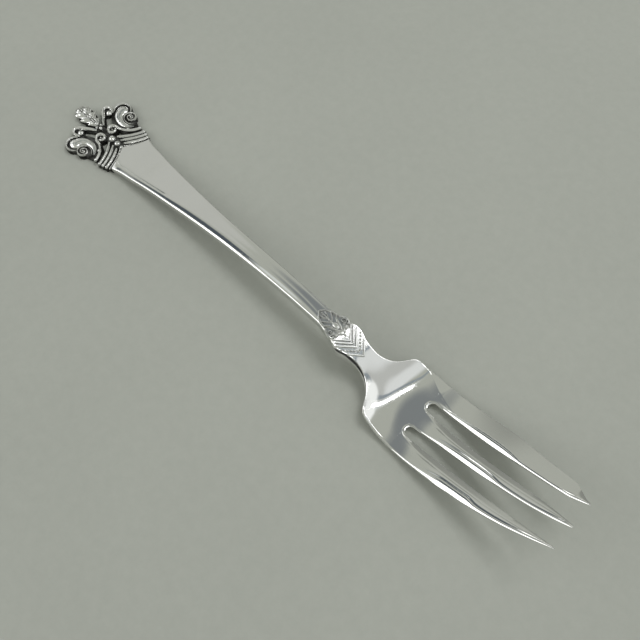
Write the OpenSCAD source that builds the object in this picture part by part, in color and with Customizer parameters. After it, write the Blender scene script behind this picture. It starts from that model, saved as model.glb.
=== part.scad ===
// Pastry fork with three tines, of which the left one is broad, with a bevelled cutting edge.
// X runs from the leaf on the handle's end to the tips of the tines, Y to the left, Z up.
// The nodes are regions of one silver blank and the reliefs on it, and they meet face to face.

/* [Lengths along the fork] */
// Ornamental end, from the leaf's tip to the plain handle
terminal_l = 18.4; // [16:0.1:24]
// Plain handle
handle_l = 67.8; // [50:0.1:90]
// Neck under its ornament
neck_l = 13.2; // [11:0.1:20]
// Palm, from the neck to the roots of the slots
palm_l = 15; // [11:0.1:22]
// Tines, from the roots of the slots to the tips
tine_l = 33.6; // [24:0.1:46]

/* [Heights over the table] */
// Top of the handle's arch
arch_h = 8.8; // [6:0.1:14]
// Top of the neck where it meets the palm
shoulder_h = 6.5; // [4.5:0.1:8]
// Tips of the tines
tip_h = 13.6; // [9:0.1:20]

/* [Thicknesses] */
// Plate under the reliefs of the ornamental end
plate_t = 1; // [0.6:0.05:1.4]
// Handle where it meets the ornamental end
handle_end_t = 1.8; // [1.2:0.05:2.4]
// Handle at its waist
waist_t = 2.4; // [1.8:0.05:3.2]
// Neck where it meets the palm
neck_t = 2.3; // [1.7:0.05:3]
// Palm at the roots of the slots
palm_t = 1.65; // [1.2:0.05:2.4]
// Tines at their tips
tip_t = 0.75; // [0.5:0.05:1.1]

/* [Widths of the handle and neck] */
// Handle where it meets the ornamental end
handle_end_w = 12.4; // [10:0.1:15]
// Handle at its waist
waist_w = 4; // [3:0.1:5.4]
// Neck at the widest part of its ornament
ornament_w = 7.2; // [6:0.1:9]
// Neck where it meets the palm
neck_w = 5.2; // [4:0.1:6.4]

/* [Tines] */
// Broad cutting tine, at its root
cutting_w = 4.95; // [4:0.05:7]
// Plain outer tine, at its root
outer_w = 4.15; // [3:0.05:5.5]
// Middle tine along its length
middle_w = 3.5; // [2.6:0.05:4.2]
// Middle tine between the roots of the slots
middle_root_w = 4.4; // [4.2:0.05:5.4]
// Slots at their roots
slot_w = 2.4; // [1.8:0.05:3.2]
// Flat of every tip
tip_w = 0.5; // [0.3:0.05:0.9]
// Chamfers along the upper edges of the tines
chamfer_w = 0.7; // [0.3:0.05:1]
// Length of the cutting tine's slanted end
corner_l = 3; // [2:0.1:5]
// How far the cutting tine narrows before its slanted end
corner_in = 2.05; // [1:0.05:2.6]
// How far the cutting tine's tip lies from its slot
tip_in = 0.8; // [0.3:0.05:1.2]
// Bevel that thins the cutting tine's edge
bevel_w = 3.9; // [2:0.05:4]
// Drop of that bevel
bevel_h = 0.55; // [0.2:0.05:0.7]

/* [Reeds of the ornamental end] */
// Radius of the curve where the reeds meet the handle
sweep_r = 15.75; // [14.5:0.05:18]
// Distance of that curve's centre from the fork's axis
sweep_y = 10.2; // [9.4:0.05:10.8]
// Angle at which the reeds end
reed_end = 16; // [12:1:20]
// Reeds on each side
reed_n = 3; // [2:1:4]
// Spacing of the reeds
reed_pitch = 1.05; // [0.9:0.05:1.1]
// Width of the beaded wire
wire_w = 0.8; // [0.6:0.05:1]
// Beads on each wire
wire_bead_n = 9; // [6:1:10]

/* [Scrolls of the ornamental end] */
// Radius of the band that runs from each volute
band_r = 5; // [4.6:0.05:5.3]
// Width of that band and of the volutes' rings
band_w = 0.84; // [0.6:0.02:1]
// Outer radius of the volutes
volute_r = 1.65; // [1.4:0.05:1.8]
// Width of the outer scrolls' smooth body
body_w = 2; // [1.4:0.05:2.2]
// Radius of the outer scrolls' round head
head_r = 2.4; // [2:0.05:2.6]
// Radius of the outer scrolls' spiral
spiral_r = 1.5; // [1.2:0.05:1.6]
// Radius of the hooks' curls
curl_r = 1.4; // [1.2:0.05:1.5]
// Width of the hooks' stems
stem_w = 0.9; // [0.7:0.05:1]
// Radius of the ball in each hook
ball_r = 0.72; // [0.5:0.02:0.74]
// Height of the reliefs over the plate
relief_h = 0.75; // [0.4:0.05:1]

/* [Leaf and beads of the ornamental end] */
// Width of the leaf
leaf_w = 4.2; // [3.4:0.1:4.4]
// Lobes along each side of the leaf
leaf_lobe_n = 4; // [3:1:6]
// Radius of the knot behind the leaf
knot_r = 0.5; // [0.35:0.05:0.6]
// Radius of the first bead on the axis
bead_r = 0.9; // [0.6:0.05:1]

/* [Ornament of the neck] */
// Width of the neck's leaf
neck_leaf_w = 3.7; // [3:0.1:4]
// Width of the neck's reeds
chevron_w = 0.55; // [0.4:0.05:0.6]
// Reeds across the neck
chevron_n = 2; // [1:1:2]
// Radius of the neck's beads
neck_bead_r = 0.27; // [0.2:0.01:0.3]
// Beads on each side of the neck
neck_bead_n = 6; // [4:1:6]
// Height of the neck's reliefs
neck_relief_h = 0.5; // [0.3:0.05:0.7]

/* [Hidden] */
$fn = 48;
handle_rings = 30;
neck_rings = 22;
palm_rings = 20;
tine_rings = 14;
corner_rings = 5;
root_step = 15;

// Running clearance between neighbouring reliefs, and the overrun of every cut
gap = 0.05;
over = 2;
// Bevel along the lower edges, and the round of the handle's upper edges
edge_w = 0.35;
edge_h = 0.3;
round_w = 0.6;
// Powers of the handle's narrowing, the tines' rise, taper and flare
narrow_power = 2.4;
rise_power = 1.4;
taper_power = 2.8;
middle_power = 4;
flare_power = 8;
corner_power = 3;
slant_power = 1.4;

// Stations along the fork, with the middle of its length at zero
total_l = terminal_l + handle_l + neck_l + palm_l + tine_l;
x_leaf = -total_l / 2;
x_handle = x_leaf + terminal_l;
x_neck = x_handle + handle_l;
x_palm = x_neck + neck_l;
x_root = x_palm + palm_l;
x_tip = x_root + tine_l;
x_corner = x_tip - corner_l;

// Places across the head
slot_r = slot_w / 2;
head_w = outer_w + slot_w + middle_root_w + slot_w + cutting_w;
middle_y = outer_w + slot_w + middle_root_w / 2 - head_w / 2;
left_slot_y = middle_y + middle_root_w / 2 + slot_r;
right_slot_y = middle_y - middle_root_w / 2 - slot_r;

// Height of the handle's end at the neck, as a share of the arch's rise
neck_rise_share = 0.96;
// Side profile and outline, as [share of the region's length, share of the change]
handle_rise_share = [[0, 0], [0.08, 0.09], [0.25, 0.31], [0.52, 0.655], [0.75, 0.91], [0.9, 1],
    [1, neck_rise_share]];
palm_drop_share = [[0, 0], [0.17, 0.31], [0.31, 0.55], [0.51, 0.79], [0.77, 0.96], [1, 1]];
neck_swell_share = [[0, 0], [0.17, 0.06], [0.33, 0.37], [0.48, 0.62], [0.61, 1], [0.7, 0.72], [0.85, 0.2], [1, 0]];
shoulder_share = [[0, 0], [0.17, 0.1], [0.27, 0.23], [0.36, 0.5], [0.45, 0.8], [0.5, 0.89], [0.6, 0.94],
    [0.8, 0.98], [1, 1]];
// Where the handle reaches its full thickness, and the palm its own
thick_share = 0.5;
// Where the cutting bevel begins on the palm, and where it is fully wide on the tine
bevel_start_share = 0.7;
bevel_full_share = 0.3;
// Where the chamfers of the tines are fully wide
chamfer_full_share = 0.25;
// Largest share of a section that a chamfer or bevel takes
chamfer_limit_share = 0.35;
edge_limit_share = 0.3;

// Smooth curve through a table of places and values
function rise(p, i) = (p[i + 1].y - p[i].y) / (p[i + 1].x - p[i].x);
function slope(p, i) = i == 0 ? rise(p, 0)
    : i == len(p) - 1 ? rise(p, i - 1)
    : (p[i + 1].y - p[i - 1].y) / (p[i + 1].x - p[i - 1].x);
function below(p, x, i) = i == 0 || p[i].x <= x ? i : below(p, x, i - 1);
function hermite(a, b, sa, sb, h, t) =
    a * (1 + 2 * t) * pow(1 - t, 2) + b * t * t * (3 - 2 * t) + sa * h * t * pow(1 - t, 2) - sb * h * t * t * (1 - t);
function smooth(p, x) =
    let (i = below(p, x, len(p) - 2), h = p[i + 1].x - p[i].x)
    hermite(p[i].y, p[i + 1].y, slope(p, i), slope(p, i + 1), h, (x - p[i].x) / h);
function mix(a, b, t) = a + (b - a) * t;
function clamp(t) = max(0, min(1, t));

// One section across the fork, from its right side over the top to its left side and back below
function section(x, right, left, top, under, right_cut, left_cut, right_drop, left_drop) =
    let (w = left - right, t = top - under, e = min(edge_w, edge_limit_share * min(w, t)),
        rc = min(right_cut, chamfer_limit_share * w), lc = min(left_cut, w - rc - e),
        rd = min(right_drop, chamfer_limit_share * t), ld = min(left_drop, chamfer_limit_share * t))
    [[x, right, top - rd], [x, right + rc, top], [x, left - lc, top], [x, left, top - ld],
        [x, left, under + e], [x, left - e, under], [x, right + e, under], [x, right, under + e]];

// Solid through sections that all have the same number of points
module loft(rings) {
    n = len(rings[0]);
    m = len(rings);
    sides = [for (i = [0 : m - 2], j = [0 : n - 1], k = [0, 1])
        let (a = i * n + j, b = i * n + (j + 1) % n, c = a + n, d = b + n)
        k == 0 ? [a, b, d] : [a, d, c]];
    first = [for (j = [n - 1 : -1 : 0]) j];
    last = [for (j = [0 : n - 1]) (m - 1) * n + j];
    polyhedron([for (ring = rings, p = ring) p], concat(sides, [first], [last]), convexity = 6);
}

// Handle, neck and palm
neck_top = mix(handle_end_t, arch_h, neck_rise_share);
function handle_section(u) =
    let (half = mix(waist_w, handle_end_w, pow(1 - u, narrow_power)) / 2,
        top = mix(handle_end_t, arch_h, smooth(handle_rise_share, u)),
        t = mix(handle_end_t, waist_t, clamp(u / thick_share)))
    section(mix(x_handle, x_neck, u), -half, half, top, top - t, round_w, round_w, edge_h, edge_h);
function neck_section(u) =
    let (swell = smooth(neck_swell_share, u), half = mix(mix(waist_w, neck_w, u), ornament_w, swell) / 2,
        top = mix(neck_top, shoulder_h, u), cut = mix(round_w, round_w * edge_limit_share, swell))
    section(mix(x_neck, x_palm, u), -half, half, top, top - mix(waist_t, neck_t, u), cut, cut, edge_h, edge_h);
function palm_section(u) =
    let (x = mix(x_palm, x_root, u), half = mix(neck_w, head_w, smooth(shoulder_share, u)) / 2,
        top = mix(shoulder_h, palm_t, smooth(palm_drop_share, u)),
        t = mix(neck_t, palm_t, clamp(u / thick_share)))
    section(x, -half, half, top, top - t, round_w, bevel_at(x), edge_h, bevel_drop(x));

module handle()
    color("silver")
    difference() {
        loft([for (i = [0 : handle_rings]) handle_section(i / handle_rings)]);
        sides() translate([sweep_x, sweep_y, -over]) cylinder(r = sweep_r, h = arch_h + over);
    }
module neck() color("silver") loft([for (i = [0 : neck_rings]) neck_section(i / neck_rings)]);
module palm() color("silver") loft([for (i = [0 : palm_rings]) palm_section(i / palm_rings)]);

// Tines, with stations that are close together round the roots of the slots
tine_x = concat([for (a = [0 : root_step : 90]) x_root + slot_r * (1 - cos(a))],
    [for (i = [1 : tine_rings]) mix(x_root + slot_r, x_corner, i / tine_rings)],
    [for (i = [1 : corner_rings]) mix(x_corner, x_tip, i / corner_rings)]);
function along(x) = (x - x_root) / tine_l;
function corner(x) = clamp((x - x_corner) / corner_l);
function slot_half(x) = sqrt(max(0, pow(slot_r, 2) - pow(max(0, x_root + slot_r - x), 2)));
function tine_top(x) = mix(palm_t, tip_h, pow(along(x), rise_power));
function tine_under(x) = tine_top(x) - mix(palm_t, tip_t, along(x));
function chamfer_at(x) = mix(round_w * edge_limit_share, chamfer_w, clamp(along(x) / chamfer_full_share));
bevel_x = mix(x_palm, x_root, bevel_start_share);
bevel_end_x = mix(x_root, x_tip, bevel_full_share);
function bevel_grown(x) = clamp((x - bevel_x) / (bevel_end_x - bevel_x));
function bevel_at(x) = mix(round_w, bevel_w, sqrt(bevel_grown(x)));
function bevel_drop(x) = mix(edge_h, bevel_h, bevel_grown(x));

function cutting_right(x) = left_slot_y + slot_half(x) + tip_in * pow(corner(x), 2);
cutting_corner_y = head_w / 2 - corner_in;
cutting_tip_y = left_slot_y + slot_r + tip_in + tip_w;
function cutting_left(x) = x < x_corner
    ? head_w / 2 - corner_in * pow((x - x_root) / (x_corner - x_root), corner_power)
    : mix(cutting_tip_y, cutting_corner_y, pow(1 - corner(x), slant_power));
function middle_half(x) =
    let (u = along(x))
    mix(tip_w, middle_w, 1 - pow(u, middle_power)) / 2
    + (middle_root_w - middle_w) / 2 * pow(1 - u, flare_power) + slot_r - slot_half(x);
function outer_right(x) = (outer_w - tip_w) * pow(along(x), taper_power) - head_w / 2;

function cutting_section(x) = section(x, cutting_right(x), cutting_left(x), tine_top(x), tine_under(x),
    chamfer_at(x), bevel_at(x), edge_h, bevel_drop(x));
function middle_section(x) = section(x, middle_y - middle_half(x), middle_y + middle_half(x), tine_top(x),
    tine_under(x), chamfer_at(x), chamfer_at(x), edge_h, edge_h);
function outer_section(x) = section(x, outer_right(x), right_slot_y - slot_half(x), tine_top(x),
    tine_under(x), round_w, chamfer_at(x), edge_h, edge_h);

module cutting_tine() color("gainsboro") loft([for (x = tine_x) cutting_section(x)]);
module middle_tine() color("silver") loft([for (x = tine_x) middle_section(x)]);
module outer_tine() color("gainsboro") loft([for (x = tine_x) outer_section(x)]);

// Low rounded profile, dome, straight bar and curved bar of the reliefs
module crown(w, h) {
    r = (pow(w / 2, 2) + h * h) / (2 * h);
    intersection() {
        translate([0, h - r]) circle(r);
        translate([-w / 2, 0]) square([w, h]);
    }
}
module dome(r, h)
    rotate_extrude()
    intersection() {
        crown(2 * r, h);
        square([r, h]);
    }
module bar(a, b, w, h)
    translate([a.x, a.y, 0])
    rotate([0, 0, atan2(b.y - a.y, b.x - a.x)])
    rotate([90, 0, 90])
    linear_extrude(norm(b - a)) crown(w, h);
module bow(centre, r, from, to, w, h)
    translate([centre.x, centre.y, 0])
    rotate([0, 0, from])
    rotate_extrude(angle = to - from) translate([r, 0]) crown(w, h);
module pie(centre, r, from, to)
    translate(centre)
    intersection() {
        circle(r);
        polygon(concat([[0, 0]], [for (i = [0 : 4]) over * r * aim(mix(from, to, i / 4))]));
    }
module strip(a, b, w)
    translate(a)
    rotate(atan2(b.y - a.y, b.x - a.x))
    translate([0, -w / 2]) square([norm(b - a), w]);
module disc(centre, r) translate(centre) circle(r);
module sides() {
    children();
    mirror([0, 1, 0]) children();
}
module on_plate() translate([0, 0, plate_t]) children();
function aim(a) = [cos(a), sin(a)];

// Places of the ornamental end, on its left side
band_start = -130;
band_overlap_share = 0.2;
head_turn = 193;
hook_turn = 231;
stem_turn = 233;
curl_end = 60;
body_end = -22;
rim_start = 40;
rim_end = 225;
volute_back_share = 0.24;
ball_share = [0.4, -0.1];
bead_place_share = [0.333, 0.644, 0.894];
bead_size_share = [1, 0.83, 0.55];
leaf_fill_share = 0.82;
leaf_peak_power = 0.8;
leaf_steps = 8;
rim_w_share = 0.25;
leaf_rise_share = 0.5;
leaf_rib_share = 0.25;
wire_rise_share = 0.33;
head_dome_share = 0.75;
sweep_x = x_handle - sqrt(pow(sweep_r, 2) - pow(sweep_y, 2));
sweep = [sweep_x, sweep_y];
wire_r = sweep_r - wire_w / 2 - 3 * gap;
reed_w = reed_pitch - 2 * gap;
function reed_r(i) = wire_r - reed_pitch * (i + 1);
sector_r = reed_r(reed_n - 1) - reed_pitch / 2;
band_out_r = band_r + band_w / 2;
// The scroll's band rests on the volute's ring and meets the inner reed where the two curves touch
volute_y = volute_r + 2 * gap;
scroll_y = volute_y + volute_r + band_r - band_overlap_share * band_w;
scroll_reach = sector_r - band_out_r - gap;
scroll_turn = -asin((sweep_y - scroll_y) / scroll_reach);
scroll = sweep + scroll_reach * aim(scroll_turn);
body_r = band_r - band_w / 2 - gap - body_w / 2;
head = scroll + body_r * aim(head_turn);
curl = head + (head_r + curl_r + 2 * gap) * aim(hook_turn);
volute = [scroll.x - volute_back_share * volute_r, volute_y];
spiral = scroll - [0, body_r - body_w / 2 - spiral_r - 4 * gap];
knot_x = volute.x - volute_r - knot_r - 2 * gap;
leaf_base_x = knot_x - knot_r - gap;
leaf_l = leaf_base_x - x_leaf;
stem_start = [knot_x, knot_r + stem_w / 2 + 2 * gap];
stem_end = curl + (curl_r - stem_w / 2) * aim(stem_turn);
ball = curl + curl_r * ball_share;
rim_w = head_r * rim_w_share;
head_dome_r = (head_r - rim_w) * head_dome_share;
body_start = head_turn - 360 + 2 * asin((head_dome_r + gap) / (2 * body_r));
reed_start_y = bead_r + 2 * gap;
wire_start_y = bead_r * bead_size_share[2] + 2 * gap;
function wire_angle(y) = asin((y - sweep_y) / wire_r);
// Angle from which a reed clears both the beads on the axis and the volute's ring
function reed_start(i) =
    let (r = reed_r(i), d = norm(volute - sweep), reach = volute_r + reed_w / 2 + gap,
        near = (d * d + r * r - reach * reach) / (2 * d * r),
        turn = atan2(volute.y - sweep_y, volute.x - sweep_x))
    max(asin((reed_start_y + reed_w / 2 - sweep_y) / r), near < 1 ? turn + acos(near) : -90);

// Outline of the leaf and the plate that carries every relief
function leaf_half(s) =
    leaf_w / 2 * pow(sin(180 * pow(s, leaf_peak_power)), leaf_peak_power)
    * mix(leaf_fill_share, 1, abs(sin(180 * leaf_lobe_n * s)));
leaf_side = [for (i = [1 : leaf_steps * leaf_lobe_n - 1])
    let (s = i / (leaf_steps * leaf_lobe_n)) [x_leaf + leaf_l * s, leaf_half(s)]];
module leaf_outline()
    polygon(concat([[x_leaf, 0]], leaf_side, [[leaf_base_x, 0]],
        [for (i = [len(leaf_side) - 1 : -1 : 0]) [leaf_side[i].x, -leaf_side[i].y]]));
module half_outline() {
    disc(head, head_r);
    disc(spiral, spiral_r);
    disc(curl, curl_r);
    disc(volute, volute_r);
    pie(scroll, band_out_r + 3 * gap, head_turn - 360, scroll_turn);
    strip(stem_start, stem_end, stem_w);
    intersection() {
        difference() {
            pie(sweep, sweep_r, -90, -reed_end);
            disc(sweep, sector_r);
        }
        translate([scroll.x, 0]) square(sweep_r);
    }
    for (i = [0 : reed_n - 1]) disc(sweep + reed_r(i) * aim(-reed_end), reed_w / 2);
}
module terminal_plate()
    color("darkgray") {
        linear_extrude(plate_t) leaf_outline();
        linear_extrude(plate_t) {
            strip([x_leaf + leaf_l / 2, 0], [volute.x, 0], 2 * knot_r);
            intersection() {
                union() {
                    half_outline();
                    mirror([0, 1]) half_outline();
                    strip([knot_x - knot_r, 0], [x_handle, 0], 2 * reed_start_y);
                }
                union() {
                    disc(sweep, sweep_r);
                    mirror([0, 1]) disc(sweep, sweep_r);
                }
            }
        }
    }

// Reliefs of the ornamental end
module terminal_leaf()
    color("gainsboro")
    on_plate() {
        linear_extrude(relief_h * leaf_rise_share) leaf_outline();
        bar([x_leaf + leaf_l * leaf_rib_share, 0], [leaf_base_x - gap, 0], knot_r, relief_h);
    }
module leaf_knot() color("white") on_plate() translate([knot_x, 0, 0]) dome(knot_r, relief_h);
module hook_scroll_left()
    color("gainsboro")
    on_plate() {
        bar(stem_start, stem_end, stem_w, relief_h);
        bow(curl, curl_r - stem_w / 2, curl_end, stem_turn, stem_w, relief_h);
        translate([ball.x, ball.y, 0]) dome(ball_r, relief_h);
    }
module hook_scroll_right() mirror([0, 1, 0]) hook_scroll_left();
module outer_scroll_left()
    color("silver")
    on_plate() {
        bow(scroll, body_r, body_start, body_end, body_w, relief_h);
        translate([head.x, head.y, 0]) dome(head_dome_r, relief_h);
        bow(head, head_r - rim_w / 2, rim_start, rim_end, rim_w, relief_h);
        translate([spiral.x, spiral.y, 0]) dome(spiral_r, relief_h);
    }
module outer_scroll_right() mirror([0, 1, 0]) outer_scroll_left();
module volute_left()
    color("gainsboro")
    on_plate() {
        bow(volute, volute_r - band_w / 2, 0, 360, band_w, relief_h);
        bow(scroll, band_r, band_start, scroll_turn, band_w, relief_h);
    }
module volute_right() mirror([0, 1, 0]) volute_left();
module axis_beads()
    color("white")
    on_plate()
    for (i = [0 : len(bead_place_share) - 1])
        translate([mix(volute.x, x_handle, bead_place_share[i]), 0, 0])
            dome(bead_r * bead_size_share[i], relief_h * bead_size_share[i]);
module reeds_left()
    color("gainsboro")
    on_plate()
    for (i = [0 : reed_n - 1])
        bow(sweep, reed_r(i), reed_start(i), -reed_end, reed_w, relief_h);
module reeds_right() mirror([0, 1, 0]) reeds_left();
module bead_wire_left() {
    first = wire_angle(wire_start_y + wire_w / 2);
    step = (-reed_end - first) / wire_bead_n;
    color("white")
    on_plate() {
        bow(sweep, wire_r, first, -reed_end, wire_w, relief_h * wire_rise_share);
        for (i = [0.5 : wire_bead_n])
            translate(wire_r * aim(first + i * step) + sweep) dome(wire_w / 2 - gap, relief_h);
    }
}
module bead_wire_right() mirror([0, 1, 0]) bead_wire_left();

// Reliefs of the neck, on its sloping seat
seat_tilt = atan2(neck_top - shoulder_h, neck_l);
seat_l = neck_l / cos(seat_tilt);
neck_leaf_share = [[0.01, 0], [0.09, 0.5], [0.17, 0.95], [0.22, 0.62], [0.29, 0.86], [0.32, 0.4],
    [0.46, 0.3], [0.5, 0]];
neck_scroll_share = [0.41, 0.6];
neck_curl_start = -30;
neck_curl_end = 270;
neck_curl_share = 0.8;
neck_rim_share = 0.75;
chevron_place_share = 0.72;
chevron_step_share = 0.08;
bead_row_share = 0.88;
rim_place_share = 0.98;
chevron_reach_share = 0.8;
bead_reach_share = 0.88;
rim_reach_share = 0.74;
chevron_turn = 47;
module on_neck() translate([x_neck, 0, neck_top]) rotate([0, seat_tilt, 0]) children();
// Point on the arm of a chevron whose vertex is at a share of the seat, at a distance from the axis
function arm(place, y) = [place * seat_l - y / tan(chevron_turn), y];
module chevron(place, reach, w, h)
    sides() bar(arm(place, 0), arm(place, reach * ornament_w / 2), w, h);

module neck_leaf()
    color("gainsboro")
    on_neck() {
        linear_extrude(neck_relief_h * leaf_rise_share)
            polygon([for (s = [1, -1], p = s > 0 ? neck_leaf_share : backwards(neck_leaf_share))
                [p.x * seat_l, s * p.y * neck_leaf_w / 2]]);
        bar([seat_l * neck_leaf_share[1].x, 0], [seat_l * neck_leaf_share[6].x, 0], chevron_w, neck_relief_h);
    }
function backwards(list) = [for (i = [len(list) - 2 : -1 : 1]) list[i]];
module neck_scroll_left()
    color("gainsboro")
    on_neck()
    translate([neck_scroll_share.x * seat_l, neck_scroll_share.y * ornament_w / 2, 0]) {
        bow([0, 0], chevron_w, neck_curl_start, neck_curl_end, chevron_w * neck_curl_share, neck_relief_h);
        dome(neck_bead_r, neck_relief_h);
    }
module neck_scroll_right() mirror([0, 1, 0]) neck_scroll_left();
module neck_reeds()
    color("gainsboro")
    on_neck()
    for (i = [0 : chevron_n - 1])
        chevron(chevron_place_share + i * chevron_step_share, chevron_reach_share, chevron_w, neck_relief_h);
module neck_beads()
    color("white")
    on_neck()
    sides()
    for (i = [0 : neck_bead_n - 1]) {
        y = mix(neck_bead_r + gap, bead_reach_share * ornament_w / 2, i / (neck_bead_n - 1));
        translate(arm(bead_row_share, y)) dome(neck_bead_r, neck_relief_h);
    }
module neck_rim()
    color("silver")
    on_neck() chevron(rim_place_share, rim_reach_share, chevron_w * neck_rim_share, neck_relief_h);

palm();
cutting_tine();
middle_tine();
outer_tine();
neck();
handle();
terminal_plate();
terminal_leaf();
leaf_knot();
hook_scroll_left();
hook_scroll_right();
outer_scroll_left();
outer_scroll_right();
volute_left();
volute_right();
axis_beads();
reeds_left();
reeds_right();
bead_wire_left();
bead_wire_right();
neck_leaf();
neck_scroll_left();
neck_scroll_right();
neck_reeds();
neck_beads();
neck_rim();
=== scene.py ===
import math
import bpy
from mathutils import Matrix, Vector


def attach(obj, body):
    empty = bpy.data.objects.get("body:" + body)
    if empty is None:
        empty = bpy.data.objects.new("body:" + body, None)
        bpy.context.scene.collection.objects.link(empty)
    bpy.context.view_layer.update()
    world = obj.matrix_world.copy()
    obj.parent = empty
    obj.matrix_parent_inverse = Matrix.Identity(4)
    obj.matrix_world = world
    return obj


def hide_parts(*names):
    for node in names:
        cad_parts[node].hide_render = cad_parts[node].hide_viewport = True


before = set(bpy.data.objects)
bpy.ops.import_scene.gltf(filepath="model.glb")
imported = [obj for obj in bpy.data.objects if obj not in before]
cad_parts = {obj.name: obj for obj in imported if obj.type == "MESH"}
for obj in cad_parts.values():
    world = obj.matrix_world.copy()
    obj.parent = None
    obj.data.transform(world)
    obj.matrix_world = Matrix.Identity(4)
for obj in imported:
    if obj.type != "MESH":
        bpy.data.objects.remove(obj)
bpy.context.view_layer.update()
mm = 0.001
bodyAngle, reliefAngle = 28, 40  # degrees: edges sharper than this stay sharp
print("frame loaded:", len(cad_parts), "nodes")

# Camera: the fork's own perspective in the photograph, in millimetres and degrees, with its clipping in metres
camera = {
    "lens": 39.43, "sensor": 36, "clip": (0.005, 10),
    "elevation": 64.87, "azimuth": 46.36, "roll": -1.53,
    "target": (10.88, 1.48, 0), "distance": 152.4,
}


def makeCamera():
    e, a, roll = (math.radians(camera[k]) for k in ("elevation", "azimuth", "roll"))
    back = Vector((math.sin(a) * math.cos(e), -math.cos(a) * math.cos(e), math.sin(e)))
    right = Vector((math.cos(a), math.sin(a), 0))
    up = back.cross(right)
    across = right * math.cos(roll) + up * math.sin(roll)
    upward = up * math.cos(roll) - right * math.sin(roll)
    bpy.ops.object.camera_add(location=(Vector(camera["target"]) + back * camera["distance"]) * mm)
    cam = bpy.context.object
    cam.name = "camera"
    cam.rotation_euler = Matrix((across, upward, back)).transposed().to_euler()
    cam.data.lens, cam.data.sensor_width = camera["lens"], camera["sensor"]
    cam.data.clip_start, cam.data.clip_end = camera["clip"]
    bpy.context.scene.camera = cam


makeCamera()

# Studio: a quiet room of broad tones for the silver to mirror, a long strip overhead, a window and a key lamp
studio = {
    "room": (0.41, 0.425, 0.38),
    "roomLow": (0.45, 0.46, 0.42),
    "roomFade": (0.0, 0.75),  # heights between which the low tone turns into the room's
    "skirting": (0.14, 0.21, (0.03, 0.03, 0.03)),  # heights between which it fades, colour
    "patches": [  # direction, cosines where it begins and is full, colour
        ((0.80, 0.25, 0.55), 0.80, 0.95, (0.50, 0.51, 0.49)),
        ((0.55, 0.24, 0.80), 0.96, 0.992, (0.72, 0.74, 0.73)),
        ((0.56, 0.02, 0.83), 0.96, 0.992, (0.72, 0.74, 0.73)),
        ((-0.96, 0.06, 0.27), 0.955, 0.985, (0.95, 0.97, 0.94)),
        ((-0.86, -0.30, 0.42), 0.95, 0.985, (0.90, 0.92, 0.90)),
        ((0.65, 0.70, 0.28), 0.93, 0.97, (0.95, 0.97, 0.95)),
        ((-0.26, 0.30, 0.918), 0.95, 0.993, (0.205, 0.222, 0.225)),  # the dark pool in the palm
        ((-0.48, 0.74, 0.47), 0.962, 0.984, (0.25, 0.26, 0.235)),
        ((-0.71, 0.25, 0.66), 0.985, 0.997, (0.49, 0.50, 0.465)),
        ((-0.66, -0.12, 0.74), 0.982, 0.996, (0.07, 0.085, 0.10)),  # the dark streak on the handle's near margin
        ((-0.47, -0.14, 0.87), 0.985, 0.996, (0.62, 0.65, 0.62)),
    ],
    "beams": [  # pole, cosines where it begins, is full, begins to end and ends, colour
        ((0.742, -0.668, -0.049), 0.04, 0.06, 0.11, 0.14, (0.25, 0.285, 0.31)),
        ((0.742, -0.668, -0.049), -0.17, -0.06, 0.0, 0.02, (0.66, 0.69, 0.68)),
    ],
    "beamSide": (0.05, 0.2), "beamHeight": (0.45, 0.6),  # where they begin beside the strip, on the palm's side
    "lamps": [  # name, place, size, turn, power, aim
        ("ceilingStrip", (0.605, 0.652, 0.65), (1.52, 0.05), 48, 1.25, (0.605, 0.652, 0)),
        ("window", (-0.50, -0.62, 0.50), (0.70, 0.56), 0, 1.9, (0, 0, 0)),
        ("key", (0.04, 0.28, 0.70), (0.26, 0.26), 0, 1.3, (0, 0, 0)),
    ],
}


def link(tree, a, b):
    tree.links.new(a, b)


def node(tree, kind, **values):
    n = tree.nodes.new("ShaderNode" + kind)
    for key, value in values.items():
        if hasattr(n, key):
            setattr(n, key, value)
        else:
            n.inputs[key].default_value = value
    return n


def maths(tree, operation, a, b=0.0, clamp=False):
    n = node(tree, "Math", operation=operation, use_clamp=clamp)
    for i, value in enumerate((a, b)):
        if isinstance(value, (int, float)):
            n.inputs[i].default_value = value
        else:
            link(tree, value, n.inputs[i])
    return n.outputs[0]


def mixColour(tree, factor, a, b):
    n = node(tree, "Mix", data_type="RGBA", blend_type="MIX")
    for i, value in ((0, factor), (6, a), (7, b)):  # the sockets of the factor and the two colours
        if isinstance(value, (int, float)):
            n.inputs[i].default_value = value
        elif isinstance(value, tuple):
            n.inputs[i].default_value = (*value, 1)
        else:
            link(tree, value, n.inputs[i])
    return n.outputs[2]


def ramp(tree, value, low, high):
    n = node(tree, "MapRange", interpolation_type="SMOOTHSTEP")
    n.inputs[1].default_value, n.inputs[2].default_value = low, high
    link(tree, value, n.inputs[0])
    return n.outputs[0]


def towards(tree, ways, direction):
    dot = node(tree, "VectorMath", operation="DOT_PRODUCT")
    dot.inputs[1].default_value = Vector(direction).normalized()
    link(tree, ways, dot.inputs[0])
    return dot.outputs["Value"]


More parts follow.
